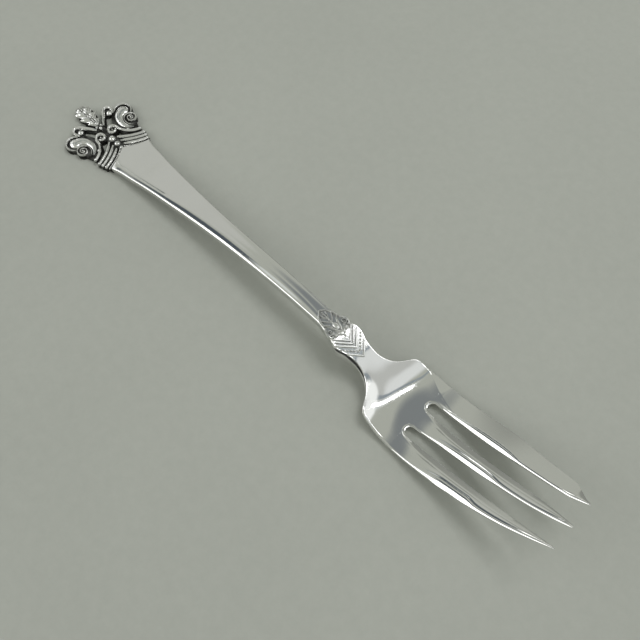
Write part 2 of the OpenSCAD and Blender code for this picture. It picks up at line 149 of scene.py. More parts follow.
def makeRoom():
    world = bpy.data.worlds.new("room")
    bpy.context.scene.world = world
    world.use_nodes = True
    tree = world.node_tree
    tree.nodes.clear()
    ways = node(tree, "TexCoord").outputs["Generated"]
    axes = node(tree, "SeparateXYZ")
    link(tree, ways, axes.inputs[0])
    side, height = axes.outputs[0], axes.outputs[2]
    colour = mixColour(tree, ramp(tree, height, *studio["roomFade"]), studio["roomLow"], studio["room"])
    for way, begin, full, tone in studio["patches"]:
        colour = mixColour(tree, ramp(tree, towards(tree, ways, way), begin, full), colour, tone)
    for pole, *edges, tone in studio["beams"]:
        off = towards(tree, ways, pole)
        band = maths(tree, "SUBTRACT", ramp(tree, off, *edges[:2]), ramp(tree, off, *edges[2:]))
        band = maths(tree, "MULTIPLY", band, ramp(tree, side, *studio["beamSide"]))
        band = maths(tree, "MULTIPLY", band, ramp(tree, height, *studio["beamHeight"]))
        colour = mixColour(tree, band, colour, tone)
    low, high, tone = studio["skirting"]
    colour = mixColour(tree, ramp(tree, height, low, high), tone, colour)
    back = node(tree, "Background", Strength=1.0)
    link(tree, colour, back.inputs["Color"])
    link(tree, back.outputs[0], node(tree, "OutputWorld").inputs["Surface"])


def makeLamps():
    for name, place, size, turn, power, aim in studio["lamps"]:
        bpy.ops.object.light_add(type="AREA", location=place)
        lamp = bpy.context.object
        lamp.name = name
        lamp.data.shape, lamp.data.size, lamp.data.size_y = "RECTANGLE", *size
        lamp.data.energy = power
        lamp.visible_glossy = name != "key"  # the silver doesn't mirror it: it lights the floor and casts the shadow
        lamp.rotation_euler = (Vector(place) - Vector(aim)).to_track_quat("Z", "Y").to_euler()
        if turn:  # the strip's long side lies at this angle to the fork
            back = (Vector(place) - Vector(aim)).normalized()
            long = Vector((math.cos(math.radians(turn)), math.sin(math.radians(turn)), 0))
            up = back.cross(long).normalized()
            lamp.rotation_euler = Matrix((up.cross(back), up, back)).transposed().to_euler()


def material(name):
    m = bpy.data.materials.new(name)
    m.use_nodes = True
    return m, m.node_tree, m.node_tree.nodes["Principled BSDF"]


# Floor: pale and plain, with a fine grain and a faint cloudiness
floorLook = {
    "size": 3, "colour": (0.42, 0.432, 0.395), "darkest": 0.86, "lightest": 1.2, "roughness": 0.8,
    "grain": 420.0, "grainShare": 0.5, "cloud": 22.0, "cloudShare": 0.3, "bump": 0.25, "bumpDepth": 0.0002,
}


def makeFloor():
    bpy.ops.mesh.primitive_plane_add(size=floorLook["size"])
    floor = bpy.context.object
    floor.name = "floor"
    m, tree, shader = material("paleFloor")
    place = node(tree, "TexCoord").outputs["Object"]
    grain = node(tree, "TexNoise", Scale=floorLook["grain"], Detail=6.0, Roughness=0.7)
    cloud = node(tree, "TexNoise", Scale=floorLook["cloud"], Detail=3.0)
    link(tree, place, grain.inputs["Vector"])
    link(tree, place, cloud.inputs["Vector"])
    tone = maths(tree, "ADD", maths(tree, "MULTIPLY", grain.outputs[0], floorLook["grainShare"]),
                 maths(tree, "MULTIPLY", cloud.outputs[0], floorLook["cloudShare"]))
    dark, light = (tuple(c * floorLook[k] for c in floorLook["colour"]) for k in ("darkest", "lightest"))
    link(tree, mixColour(tree, tone, dark, light), shader.inputs["Base Color"])
    shader.inputs["Roughness"].default_value = floorLook["roughness"]
    bump = node(tree, "Bump", Strength=floorLook["bump"], Distance=floorLook["bumpDepth"])
    link(tree, grain.outputs[0], bump.inputs["Height"])
    link(tree, bump.outputs[0], shader.inputs["Normal"])
    floor.data.materials.append(m)


bpy.context.scene.view_settings.view_transform = "Standard"
makeRoom()
makeLamps()
makeFloor()
print("studio ready")

# Silver: one group for the fine wear of polished metal, one for tarnished hollows and painted shade in creases
silver = {
    "bright": (0.91, 0.91, 0.895), "dull": (0.80, 0.80, 0.785), "roughness": 0.04, "scratch": 0.5,
    "scratches": ((0.5, (260, 7000, 7000)), (-0.3, (320, 9000, 9000))),  # turn and stretch of each set
    "scratchRange": (0.62, 0.74), "scratchBump": 0.12, "scratchDepth": 0.00002,
    "haze": 110.0, "hazeTone": 0.5, "spread": 0.055,  # how far haze and scratches roughen the polish
    "dents": 1500.0, "dentDepth": 0.0001,
}
# Tarnished hollows and painted crease shade: their colour, roughness and spread
tarnishAndShade = {
    "colour": (0.035, 0.034, 0.032), "roughness": 0.3,
    "fade": (0.1, 1.0),  # over these shares of the depth above the ground
    "crease": 0.0007, "creaseFull": 0.15,  # how near a wall the painted crease shade reaches, and the openness at which it is darkest
    "patches": 700.0, "patchShare": 0.6, "least": 0.65,
}


def newGroup(name, inputs, outputs):
    g = bpy.data.node_groups.new(name, "ShaderNodeTree")
    for side, sockets in (("INPUT", inputs), ("OUTPUT", outputs)):
        for label, kind in sockets.items():
            g.interface.new_socket(label, in_out=side, socket_type="NodeSocket" + kind)
    return g, g.nodes.new("NodeGroupInput"), g.nodes.new("NodeGroupOutput")


def makeWear():
    g, given, made = newGroup("fineWear", {"Place": "Vector", "Roughness": "Float", "Scratch": "Float"},
                              {"Roughness": "Float", "Height": "Float", "Tone": "Float"})
    fields = []
    for turn, stretch in silver["scratches"]:
        along = node(g, "Mapping", Rotation=(0, 0, turn), Scale=stretch)
        lines = node(g, "TexNoise", Scale=1.0, Detail=2.0, Roughness=0.6)
        link(g, given.outputs["Place"], along.inputs["Vector"])
        link(g, along.outputs[0], lines.inputs["Vector"])
        fields.append(ramp(g, lines.outputs[0], *silver["scratchRange"]))
    haze = node(g, "TexNoise", Scale=silver["haze"], Detail=4.0, Roughness=0.6)
    link(g, given.outputs["Place"], haze.inputs["Vector"])
    scratches = maths(g, "MULTIPLY", maths(g, "MAXIMUM", *fields), given.outputs["Scratch"])
    spread = maths(g, "MULTIPLY", maths(g, "ADD", haze.outputs[0], scratches), silver["spread"])
    link(g, maths(g, "ADD", given.outputs["Roughness"], spread, True), made.inputs["Roughness"])
    link(g, scratches, made.inputs["Height"])
    link(g, maths(g, "MULTIPLY", haze.outputs[0], silver["hazeTone"]), made.inputs["Tone"])
    return g


def makeTarnishAndShade():
    g, given, made = newGroup("tarnishAndCreaseShade",
                              {"Place": "Vector", "Ground": "Float", "Depth": "Float", "Reach": "Float"},
                              {"Mask": "Float"})
    axes = node(g, "SeparateXYZ")
    link(g, given.outputs["Place"], axes.inputs[0])
    above = maths(g, "SUBTRACT", axes.outputs[2], given.outputs["Ground"])
    share = maths(g, "DIVIDE", above, given.outputs["Depth"])
    low = maths(g, "SUBTRACT", 1.0, ramp(g, share, *tarnishAndShade["fade"]))
    # painted shade: creases darken by how closed in they are
    crease = node(g, "AmbientOcclusion", samples=8, Distance=tarnishAndShade["crease"])
    clear = ramp(g, crease.outputs["AO"], tarnishAndShade["creaseFull"], 1.0)
    link(g, given.outputs["Reach"], clear.node.inputs[2])  # the openness at which a crease is clear
    creaseShade = maths(g, "SUBTRACT", 1.0, clear)
    patch = node(g, "TexNoise", Scale=tarnishAndShade["patches"], Detail=3.0)
    link(g, given.outputs["Place"], patch.inputs["Vector"])
    uneven = maths(g, "ADD", maths(g, "MULTIPLY", patch.outputs[0], tarnishAndShade["patchShare"]), tarnishAndShade["least"])
    link(g, maths(g, "MULTIPLY", maths(g, "MAXIMUM", low, creaseShade), uneven, True), made.inputs["Mask"])
    return g


wearGroup, tarnishShadeGroup = makeWear(), makeTarnishAndShade()


def silverMaterial(name, roughness, scratch, ground=None, depth=0.4, reach=0.75, dark=1.0, dents=0.0):
    m, tree, shader = material(name)
    place = node(tree, "TexCoord").outputs["Object"]
    wear = node(tree, "Group", node_tree=wearGroup)
    link(tree, place, wear.inputs["Place"])
    wear.inputs["Roughness"].default_value, wear.inputs["Scratch"].default_value = roughness, scratch
    colour = mixColour(tree, wear.outputs["Tone"], silver["bright"], silver["dull"])
    rough = wear.outputs["Roughness"]
    if ground is not None:  # in millimetres: the silver is tarnished at this height, and painted shade darkens every crease
        hollow = node(tree, "Group", node_tree=tarnishShadeGroup)
        link(tree, place, hollow.inputs["Place"])
        hollow.inputs["Ground"].default_value = ground * mm
        hollow.inputs["Depth"].default_value = depth * mm
        hollow.inputs["Reach"].default_value = reach
        mask = maths(tree, "MULTIPLY", hollow.outputs["Mask"], dark)
        colour = mixColour(tree, mask, colour, tarnishAndShade["colour"])
        rough = maths(tree, "ADD", rough, maths(tree, "MULTIPLY", mask, tarnishAndShade["roughness"]))
    link(tree, colour, shader.inputs["Base Color"])
    link(tree, rough, shader.inputs["Roughness"])
    shader.inputs["Metallic"].default_value = 1.0
    bump = node(tree, "Bump", Strength=silver["scratchBump"], Distance=silver["scratchDepth"])
    link(tree, wear.outputs["Height"], bump.inputs["Height"])
    if dents:  # the uneven skin of struck and rubbed relief
        uneven = node(tree, "TexNoise", Scale=silver["dents"], Detail=2.0)
        link(tree, place, uneven.inputs["Vector"])
        dented = node(tree, "Bump", Strength=dents, Distance=silver["dentDepth"])
        link(tree, uneven.outputs[0], dented.inputs["Height"])
        link(tree, bump.outputs[0], dented.inputs["Normal"])
        bump = dented
    link(tree, bump.outputs[0], shader.inputs["Normal"])
    return m


polished = silverMaterial("polishedSilver", silver["roughness"], silver["scratch"])
# the reliefs and their ground get tarnished hollows and painted crease shade
relief = silverMaterial("reliefSilver", 0.06, 0.3, ground=1.0, depth=0.42, reach=0.66, dents=0.9)
groundSilver = silverMaterial("darkenedSilver", 0.25, 0.3, ground=1.0, depth=0.6)

# Blank: side profile and outline of the fork, as places along it and values, in millimetres
blank = {
    "top": [(-56, 1.75), (-50.2, 2.43), (-38.7, 3.97), (-20.3, 6.39), (-4.8, 8.17), (5.4, 8.78), (12.2, 8.74),
            (16, 8.66), (17.8, 8.58), (18.6, 8.49), (19.3, 8.33), (20, 8.1), (21, 7.75), (23, 7.05), (24.6, 6.49),
            (25.4, 6.11), (26.6, 5.53), (28, 4.87), (30.1, 3.88), (31.5, 3.22), (33, 2.66), (34, 2.38), (35, 2.16),
            (36, 1.99), (37, 1.86), (38.5, 1.74), (40.4, 1.68), (42, 1.76), (44, 2.03), (47.1, 2.76), (50.5, 3.78),
            (53.8, 4.92), (57.2, 6.17), (60.6, 7.5), (63.9, 8.9), (67.3, 10.4), (70.6, 11.96), (74, 13.6)],
    "thick": [(-56, 1.74), (-22, 2.4), (12.2, 2.4), (25.4, 2.3), (33, 1.7), (38, 1.62), (40.4, 1.6), (74, 0.75)],
    "half": [(-56, 6.2), (-55.6, 6.18), (-52, 5.8), (-50, 5.4), (-46, 4.95), (-42.6, 4.5), (-39, 4.12), (-36, 3.85),
             (-32, 3.52), (-29, 3.27), (-25.7, 3.03), (-22, 2.8), (-19, 2.65), (-16, 2.5), (-12.7, 2.4), (-9.5, 2.3),
             (-6.3, 2.22), (-3.3, 2.15), (0, 2.08), (6, 2.0), (12.2, 1.95), (14, 2.0), (16.3, 2.45), (18.3, 2.85),
             (19.6, 3.45), (20.5, 3.58), (21.5, 3.4), (22.5, 3.05), (23.7, 2.75), (25.4, 2.6), (26.7, 2.75), (28, 3.25),
             (29.2, 4.0), (30.2, 4.9), (30.9, 5.9), (31.5, 6.9), (32.2, 7.9), (32.9, 8.4), (33.8, 8.62), (35.4, 8.8),
             (37, 9.0), (40.4, 9.15)],
    # the near edge: width and drop of its facet, the round below, the groove above and how far it is rounded off
    "facet": [(-52.6, 3.0), (-52.3, 2.3), (-51.8, 1.85), (-51, 1.62), (-44, 1.35), (-38, 1.4), (-32, 1.7),
              (-26, 1.95), (-16, 1.95), (-6, 1.75), (4, 1.6), (10, 1.3), (16, 0.5), (19, 0.3), (20.3, 0.5),
              (22, 0.58), (25, 0.62), (27, 0.6), (29, 0.5), (31, 0.4), (40.4, 0.5)],
    "facetDrop": [(-52.6, 0.35), (-51, 0.28), (-44, 0.25), (-36, 0.3), (-28, 0.38), (-14, 0.4), (0, 0.34),
                  (10, 0.27), (16, 0.14), (19, 0.14), (20.3, 0.56), (22, 0.68), (25, 0.74), (27, 0.72), (29, 0.52),
                  (31, 0.26), (34, 0.16), (40.4, 0.1)],
    "round": [(-52.6, 0.42), (-36, 0.36), (-28, 0.32), (-10, 0.34), (0, 0.45), (12, 0.45), (19, 0.3), (22, 0.25),
              (27, 0.3), (32, 0.45), (40.4, 0.35)],
    "groove": [(-52.6, 0.075), (-37, 0.075), (-31, 0), (74, 0)],
    "power": [(-56, 2), (12, 2), (19, 1.2), (29, 1.2), (34, 1.6), (40.4, 2)],
    "edge": ("facet", "facetDrop", "round", "groove", "power"),
    "farEdge": (0.3, 0.06, 0.25),  # facet, drop and round
    # across the top: its crown or hollow, the arc in which the hollow begins and how its near rim stands higher
    "crown": [(-56, 0.0), (-30, 0.04), (0, 0.08), (12, 0.1), (20, 0.05), (25.4, 0.0), (27, -0.08), (29, -0.25),
              (31, -0.53), (34, -0.89), (37, -0.75), (40.4, -0.42), (44, -0.2), (48, -0.05), (52, 0), (74, 0)],
    "arc": [(-56, 0), (25, 0), (29, 0.0), (32, -0.019), (36, -0.008), (40.4, 0), (74, 0)],
    "lift": [(-56, 0), (27, 0), (30, -1.3), (32, -2.2), (36, -1.8), (40.4, 0), (74, 0)],
    "liftFrom": 0.4, "liftPower": 1.26,
    "sag": (-1.06, 7.54),  # middle and half width of the hollow between the roots of the tines
    "straight": -44, "corner": -52.5,  # where the handle's hollowed end begins, and where its corners lie
    "sweep": (-67.6, 10.2, 15.75),  # centre and radius of the wires' curve
    "handle": (-55.6, 12.2), "neck": (12.2, 25.4), "palm": (25.4, 40.4),
    "steps": {"handle": 1.0, "neck": 0.6, "palm": 0.6},
}

# Cross sections: in how many steps they are drawn and how soft their edges are
profile = {
    "roundSteps": 7, "topSteps": 9, "underSteps": 6,
    "slope": (0.8, 0.6, 0.4, 0.2),  # shares of a rounded facet's width
    "roundShare": 0.5, "roundExtra": 0.1,  # how far a round may reach into its facet
    "lip": 0.2, "farLip": 0.07, "lipShare": 0.3,  # between a facet and the crowned top
    "under": 0.35, "underWidthShare": 0.25, "underThickShare": 0.3, "underTurns": (0, 0.52, 1.05, math.pi / 2),
}


def curveAt(table, x):  # a smooth curve through the table's points
    i = max(0, min(len(table) - 2, sum(1 for p in table if p[0] <= x) - 1))
    (x0, a), (x1, b) = table[i], table[i + 1]
    span = x1 - x0
    slopeA = (b - table[i - 1][1]) / (x1 - table[i - 1][0]) if i else (b - a) / span
    slopeB = (table[i + 2][1] - a) / (table[i + 2][0] - x0) if i + 2 < len(table) else (b - a) / span
    t = (x - x0) / span
    return (a * (1 + 2 * t) * (1 - t) ** 2 + b * t * t * (3 - 2 * t)
            + span * (slopeA * t * (1 - t) ** 2 - slopeB * t * t * (1 - t)))


def stations(low, high, step, fine=(), seam=0.06):  # with one close to each end
    count = math.ceil((high - low) / step)
    even = [low + (high - low) * i / count for i in range(count + 1)]
    return sorted(set(even + [low + seam, high - seam] + [x for x in fine if low < x < high]))


def edgeProfile(facet, drop, r, groove=0.0, power=1):  # (distance in, drop) from the wall up over round and facet
    r, tilt = min(r, profile["roundShare"] * facet + profile["roundExtra"]), math.atan2(power * drop, facet)
    lip, steps = min(profile["lip"], profile["lipShare"] * facet), profile["roundSteps"]
    end = r * (1 - math.sin(tilt))
    low = (facet - end) * math.tan(tilt) / power
    turns = [math.pi / 2 + (tilt - math.pi / 2) * i / steps for i in range(steps + 1)]
    points = [(r * (1 - math.sin(a)), low + r * (math.cos(tilt) - math.cos(a))) for a in turns]
    if power > 1:  # a facet that is rounded off towards the top
        points += [(facet - (facet - end) * q, low * q ** power) for q in profile["slope"]]
    else:
        points.append((facet - lip, lip * math.tan(tilt)))
    return points + [(facet, groove), (facet + lip, 0)]


def section(x, right, left, top, under, rightEdge, leftEdge, crown):
    width = left - right
    soft = min(profile["under"], profile["underWidthShare"] * width, profile["underThickShare"] * (top - under))
    ring = [(right + d, top - z) for d, z in edgeProfile(*rightEdge)]
    farLip = min(profile["farLip"], profile["lipShare"] * leftEdge[0])
    start, end, steps = ring[-1][0], left - leftEdge[0] - farLip, profile["topSteps"]
    for i in range(1, steps):
        t = 2 * i / steps - 1
        ring.append((start + (end - start) * i / steps, top + crown * (1 - t * t)))
    ring += [(left - d, top - z) for d, z in reversed(edgeProfile(*leftEdge))]
    corner = [(soft * (1 - math.cos(a)), soft * (1 - math.sin(a))) for a in profile["underTurns"]]
    ring += [(left - d, under + z) for d, z in corner]
    steps = profile["underSteps"]
    ring += [(left - soft - (width - 2 * soft) * i / steps, under) for i in range(1, steps)]
    ring += [(right + d, under + z) for d, z in reversed(corner)]
    return [Vector((x, y, z)) * mm for y, z in ring]


def finishPiece(piece, name, nodes, paint, angle=bodyAngle):
    piece.name = piece.data.name = name
    bpy.ops.object.select_all(action="DESELECT")
    piece.select_set(True)
    bpy.context.view_layer.objects.active = piece
    bpy.ops.object.transform_apply(location=True, rotation=True, scale=True)
    bpy.ops.object.shade_smooth_by_angle(angle=math.radians(angle))
    piece.data.materials.clear()
    piece.data.materials.append(paint)
    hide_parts(*nodes)
    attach(piece, "root")


def loft(rings):  # the first ring, extruded from station to station
    bpy.ops.object.select_all(action="DESELECT")
    bpy.ops.mesh.primitive_circle_add(vertices=len(rings[0]), radius=mm, fill_type="NGON")
    piece = bpy.context.object
    bpy.ops.object.mode_set(mode="EDIT")
    for i, ring in enumerate(rings):
        if i:
            bpy.ops.mesh.extrude_region_move()
        bpy.ops.object.mode_set(mode="OBJECT")
        for v, place in zip([v for v in piece.data.vertices if v.select], ring):
            v.co = place
        bpy.ops.object.mode_set(mode="EDIT")
    bpy.ops.mesh.select_all(action="SELECT")
    bpy.ops.mesh.normals_make_consistent(inside=False)
    bpy.ops.object.mode_set(mode="OBJECT")
    bpy.ops.object.shade_smooth_by_angle(angle=math.radians(bodyAngle))
    bpy.ops.object.modifier_add(type="WEIGHTED_NORMAL")
    piece.modifiers[-1].keep_sharp = True
    bpy.ops.object.modifier_apply(modifier=piece.modifiers[-1].name)
    return piece


# Tines: the slots' round roots lie between them, and the broad one is ground to a thin outer edge
tines = {
    "root": 40.4, "tip": 74.0, "slotRadius": 1.2, "slots": (-3.8, 3.0), "step": 0.8,
    "tipStations": [70.6, 71.4, 71.9, 72.6, 73.2, 73.6],
    # each edge: width and drop of its facet
    "near": [(40.4, 0.3), (42, 0.3), (44, 0.4), (47, 0.7), (51, 1.0), (56, 1.05), (58.5, 0.8), (60.5, 0.42),
             (66, 0.28), (70, 0.34), (72, 0.4), (74, 0.12)],
    "nearDrop": [(40.4, 0.2), (42, 0.25), (44, 0.25), (49, 0.5), (56, 0.5), (61.5, 0.22), (66, 0.2), (72, 0.24),
                 (74, 0.1)],
    "far": [(40.4, 0.3), (42, 0.5), (44, 0.85), (48, 1.15), (58, 1.15), (66, 0.85), (74, 0.1)],
    "farDrop": [(40.4, 0.12), (42, 0.12), (44, 0.18), (48, 0.24), (58, 0.24), (66, 0.18), (74, 0.05)],
    "bevel": [(40.4, 2.6), (42, 3.2), (44, 3.85), (46, 4.3), (48, 4.6), (60, 4.6), (66, 4.0), (71, 1.9), (74, 0.2)],
    "bevelDrop": [(40.4, 0.3), (48, 0.5), (66, 0.45), (74, 0.15)],
    "bevelStart": 36.0, "bevelRoot": (2.6, 0.3, 0.1),  # in the palm; facet, drop and round where the palm ends
    "outer": [(40.4, 0.5), (43, 0.4), (46, 0.45), (49, 0.8), (52, 1.3), (55, 1.5), (58, 1.2), (60, 0.6), (70, 0.4),
              (74, 0.15)],
    "outerDrop": [(40.4, 0.1), (43, 0.2), (46, 0.25), (49, 0.4), (52, 0.6), (55, 0.65), (58, 0.5), (60, 0.3),
                  (70, 0.2), (74, 0.1)],
    "round": {"near": 0.12, "far": 0.12, "bevel": 0.1, "outer": 0.2},
    "rounded": (0.0, 2),  # groove and power of the near and outer edges
    "nearShare": 0.35, "flat": 0.2,  # the most of the width that a near edge takes, and what is left between edges
    "middleHalf": [(40.4, 2.2), (41.6, 2.2), (45, 1.95), (50, 1.66), (60, 1.42), (66, 1.2), (70, 0.86), (72.5, 0.5),
                   (74, 0.25)],
    "middleY": [(40.4, -0.4), (60, -0.38), (74, -0.12)],
    "outerEdge": [(40.4, -9.15), (45, -9.12), (50, -8.95), (55, -8.65), (60, -8.2), (65, -7.5), (70, -6.4),
                  (74, -5.35)],
    "outerInner": [(40.4, -5.0), (60, -5.0), (74, -5.05)],
    "cutEdge": [(40.4, 9.15), (57, 9.1), (60, 8.75), (65, 8.1), (69, 7.6), (70.4, 7.3), (71.2, 6.85), (72, 6.25),
                (73, 5.6), (74, 5.2)],
    "cutInner": [(40.4, 4.2), (70, 4.2), (72, 4.5), (74, 4.95)],
    "crown": 0.1, "crownGrows": 5, "crownEnds": 3,  # its height and the lengths over which it comes and goes
    "full": 1.2,  # edges shrink where a tine is narrower or thinner than this
}


def handleEnd(x):  # the handle's end is hollowed by the two curves of the wires
    first, straight = blank["handle"][0], blank["straight"]
    edge = blank["corner"] + (x - first) / (straight - first) * (straight - blank["corner"])
    half, base, thick = (curveAt(blank[k], edge) for k in ("half", "top", "thick"))
    side = tuple(curveAt(blank[k], edge) for k in blank["edge"])
    cx, cy, sweep = blank["sweep"]
    made = []
    for v in section(edge, -half, half, base, base - thick, side, blank["farEdge"], 0.0):
        start = cx + math.sqrt(sweep ** 2 - (cy - abs(v.y) / mm) ** 2)
        at = start + (straight - start) * (x - first) / (straight - first)
        drop = curveAt(blank["thick"], at) - thick if v.z / mm < base - 1 else 0
        made.append(Vector((at * mm, v.y, v.z + (curveAt(blank["top"], at) - base - drop) * mm)))
    return made


def blankSection(x):
    if x < blank["straight"]:
        return handleEnd(x)
    far = blank["farEdge"]
    if x > tines["bevelStart"]:  # the cutting edge's bevel already runs into the palm
        t = (x - tines["bevelStart"]) / (tines["root"] - tines["bevelStart"])
        far = tuple(a + (b - a) * t for a, b in zip(far, tines["bevelRoot"]))
    half, top, thick = (curveAt(blank[k], x) for k in ("half", "top", "thick"))
    crown, arc, lift = (curveAt(blank[k], x) for k in ("crown", "arc", "lift"))
    side = tuple(curveAt(blank[k], x) for k in blank["edge"])

    def level(y):
        raised = max(0, -y / half - blank["liftFrom"]) ** blank["liftPower"]
        return curveAt(blank["top"], x + arc * y * y + lift * raised) - top

    made = section(x, -half, half, top, top - thick, side, far, crown)
    return [v + Vector((0, 0, level(v.y / mm) * mm)) for v in made]


def makeBlank(name):
    return loft([blankSection(x) for x in stations(*blank[name], blank["steps"][name])])


finishPiece(makeBlank("handle"), "handleBlank", ["handle"], polished)
finishPiece(makeBlank("neck"), "neckBlank", ["neck"], polished)
print("handle and neck made")


def slotGap(x):  # how much narrower a slot is inside its round root
    r = tines["slotRadius"]
    return r - math.sqrt(max(0, r * r - max(0, tines["root"] + r - x) ** 2))


def palmSag(x, y):  # the palm's hollow runs out between the roots of the tines
    middle, half = blank["sag"]
    return curveAt(blank["crown"], x) * max(0, 1 - ((y - middle) / half) ** 2)


def tineEdge(kind, x):
    return curveAt(tines[kind], x), curveAt(tines[kind + "Drop"], x), tines["round"][kind]


def tineSection(name, x):
    top, thick, gap = curveAt(blank["top"], x), curveAt(blank["thick"], x), slotGap(x)
    near, far = tineEdge("near", x) + tines["rounded"], tineEdge("far", x)
    if name == "middle_tine":
        half, y = curveAt(tines["middleHalf"], x) + gap, curveAt(tines["middleY"], x)
        right, left, rightEdge, leftEdge = y - half, y + half, near, far
    elif name == "outer_tine":
        right, left = curveAt(tines["outerEdge"], x), curveAt(tines["outerInner"], x) + gap
        rightEdge, leftEdge = tineEdge("outer", x) + tines["rounded"], far
    else:
        right, left = curveAt(tines["cutInner"], x) - gap, curveAt(tines["cutEdge"], x)
        rightEdge, leftEdge = near, tineEdge("bevel", x)
    room = left - right
    rightEdge = (min(rightEdge[0], tines["nearShare"] * room), *rightEdge[1:])
    leftEdge = (min(leftEdge[0], room - rightEdge[0] - tines["flat"] * min(1, room)), *leftEdge[1:])
    small = min(1, room / tines["full"], thick / tines["full"])
    rightEdge, leftEdge = ((e[0], e[1] * small, e[2] * small, *e[3:]) for e in (rightEdge, leftEdge))
    grown = min(1, (x - tines["root"]) / tines["crownGrows"])
    crown = tines["crown"] * grown * min(1, (tines["tip"] - x) / tines["crownEnds"])
    made = section(x, right, left, top, top - thick, rightEdge, leftEdge, crown * small)
    return [v + Vector((0, 0, palmSag(x, v.y / mm) * mm if v.z / mm > top - thick / 2 else 0)) for v in made]


rootStations = [tines["root"] + tines["slotRadius"] * (1 - math.cos(math.radians(a))) for a in range(10, 91, 10)]
tinePlaces = stations(tines["root"], tines["tip"], tines["step"], rootStations + tines["tipStations"])
for name, label in (("outer_tine", "outerTine"), ("middle_tine", "middleTine"), ("cutting_tine", "cuttingTine")):
    finishPiece(loft([tineSection(name, x) for x in tinePlaces]), label, [name], polished)
print("tines made")

# Ornamental end: its pierced ground stays as it is, and the reliefs stand on it
plate = {
    "top": 1.0, "centre": (-67.6, 10.2), "end": -16.0,  # height, centre of the wires' curve, its last angle in degrees
    "reeds": (14.15, 13.1, 12.05), "wire": 15.15,  # radii
}
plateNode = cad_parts["terminal_plate"]
plateNode.data.materials.clear()
plateNode.data.materials.append(groundSilver)


# Reliefs: strands laid as curves, whorls, knobs and a leaf raised from a grid, all standing on a ground height
def joinParts(parts, name, nodes, paint, angle=reliefAngle):
    bpy.ops.object.select_all(action="DESELECT")
    for part in parts:
        part.select_set(True)
    bpy.context.view_layer.objects.active = parts[0]
    if len(parts) > 1:
        bpy.ops.object.join()
    finishPiece(bpy.context.object, name, nodes, paint, angle)
    return bpy.context.object


def mirrored(piece, name, nodes):
    bpy.ops.object.select_all(action="DESELECT")
    piece.select_set(True)
    bpy.context.view_layer.objects.active = piece
    bpy.ops.object.duplicate()
    twin = bpy.context.object
    bpy.ops.object.mode_set(mode="EDIT")
    bpy.ops.mesh.select_all(action="SELECT")
    bpy.ops.transform.mirror(constraint_axis=(False, True, False), center_override=(0, 0, 0))
    bpy.ops.mesh.normals_make_consistent(inside=False)
    bpy.ops.object.mode_set(mode="OBJECT")
    finishPiece(twin, name, nodes, twin.data.materials[0], reliefAngle)


def plateTop(x, y):
    return plate["top"]


def between(points, t):
    i = min(len(points) - 2, int(t * (len(points) - 1)))
    f = t * (len(points) - 1) - i
    return tuple(a + (b - a) * f for a, b in zip(points[i], points[i + 1]))


def strand(points, radii, rise=1.0, ground=plateTop, sides=3):  # a round wire, stretched upwards by its rise
    bpy.ops.object.select_all(action="DESELECT")
    bpy.ops.curve.primitive_nurbs_path_add()
    wire = bpy.context.object
    line = wire.data.splines[0]
    least = len(line.points)
    if len(points) < least:
        points = [between(points, i / (least - 1)) for i in range(least)]
        radii = [radii[0] + (radii[-1] - radii[0]) * i / (least - 1) for i in range(least)]
    elif len(points) > least:
        line.points.add(len(points) - least)
    if len(radii) < len(points):
        widths = [(i / (len(radii) - 1), r) for i, r in enumerate(radii)]
        radii = [curveAt(widths, i / (len(points) - 1)) for i in range(len(points))]
    for dot, place, radius in zip(line.points, points, radii):
        dot.co = (place[0] * mm, place[1] * mm, 0, 1)
        dot.radius = radius
    line.order_u, line.use_endpoint_u, line.resolution_u = 3, True, 5
    wire.data.bevel_depth, wire.data.bevel_resolution, wire.data.use_fill_caps = mm, sides, True
    bpy.ops.object.convert(target="MESH")
    for v in wire.data.vertices:
        v.co.z = v.co.z * rise + ground(v.co.x / mm, v.co.y / mm) * mm
    return wire


def whorl(centre, r0, r1, a0, a1, count, squash=1.0):
    made = []
    for i in range(count):
        t = i / (count - 1)
        a, r = math.radians(a0 + (a1 - a0) * t), r0 + (r1 - r0) * t
        made.append((centre[0] + r * math.cos(a), centre[1] + squash * r * math.sin(a)))
    return made


def knob(place, radius, height, ground=plateTop, stretch=(1, 1), turn=0.0):
    bpy.ops.object.select_all(action="DESELECT")
    bpy.ops.mesh.primitive_uv_sphere_add(segments=20, ring_count=12, radius=mm,
                                         location=(place[0] * mm, place[1] * mm, ground(*place) * mm))
    ball = bpy.context.object
    ball.scale = (radius * stretch[0], radius * stretch[1], height)
    ball.rotation_euler = (0, 0, turn)
    bpy.ops.object.transform_apply(location=True, rotation=True, scale=True)
    return ball


def sweepArc(radius, y0, count=14):  # round the plate's centre, from this height across to its last angle
    cx, cy = plate["centre"]
    a0 = math.degrees(math.asin((y0 - cy) / radius))
    return whorl((cx, cy), radius, radius, a0, plate["end"], count)


# Leaf: lobed, with a raised spine between two grooves
leaf = {
    "base": -65.2, "tip": -73.9, "width": 4.9, "height": 0.95, "grid": (72, 28), "wall": 0.3,
    "lobes": 4, "phase": 0.12, "lobePoint": 6, "lobePower": 0.8, "lobeShares": (0.55, 0.45),
    "envelope": 0.8, "envelopePower": 0.7, "slant": 0.35,
    "pillowShares": (0.42, 0.58), "pillowSlant": 0.55, "pillowBend": 1.3, "fall": 0.5, "least": 0.12,
    "spine": (0.22, 0.10), "grooves": (0.28, 0.07, 0.2),  # height and width; depth, width and place
    "ends": (6, 5, 0.2),  # how steeply it rises from the tip and from the base, and its height there
    "vein": ([(-65.4, 0), (-68, 0.03), (-70.5, 0), (-73.2, 0)], [0.2, 0.17, 0.12, 0.06]), "veinHeight": 1.72,
}


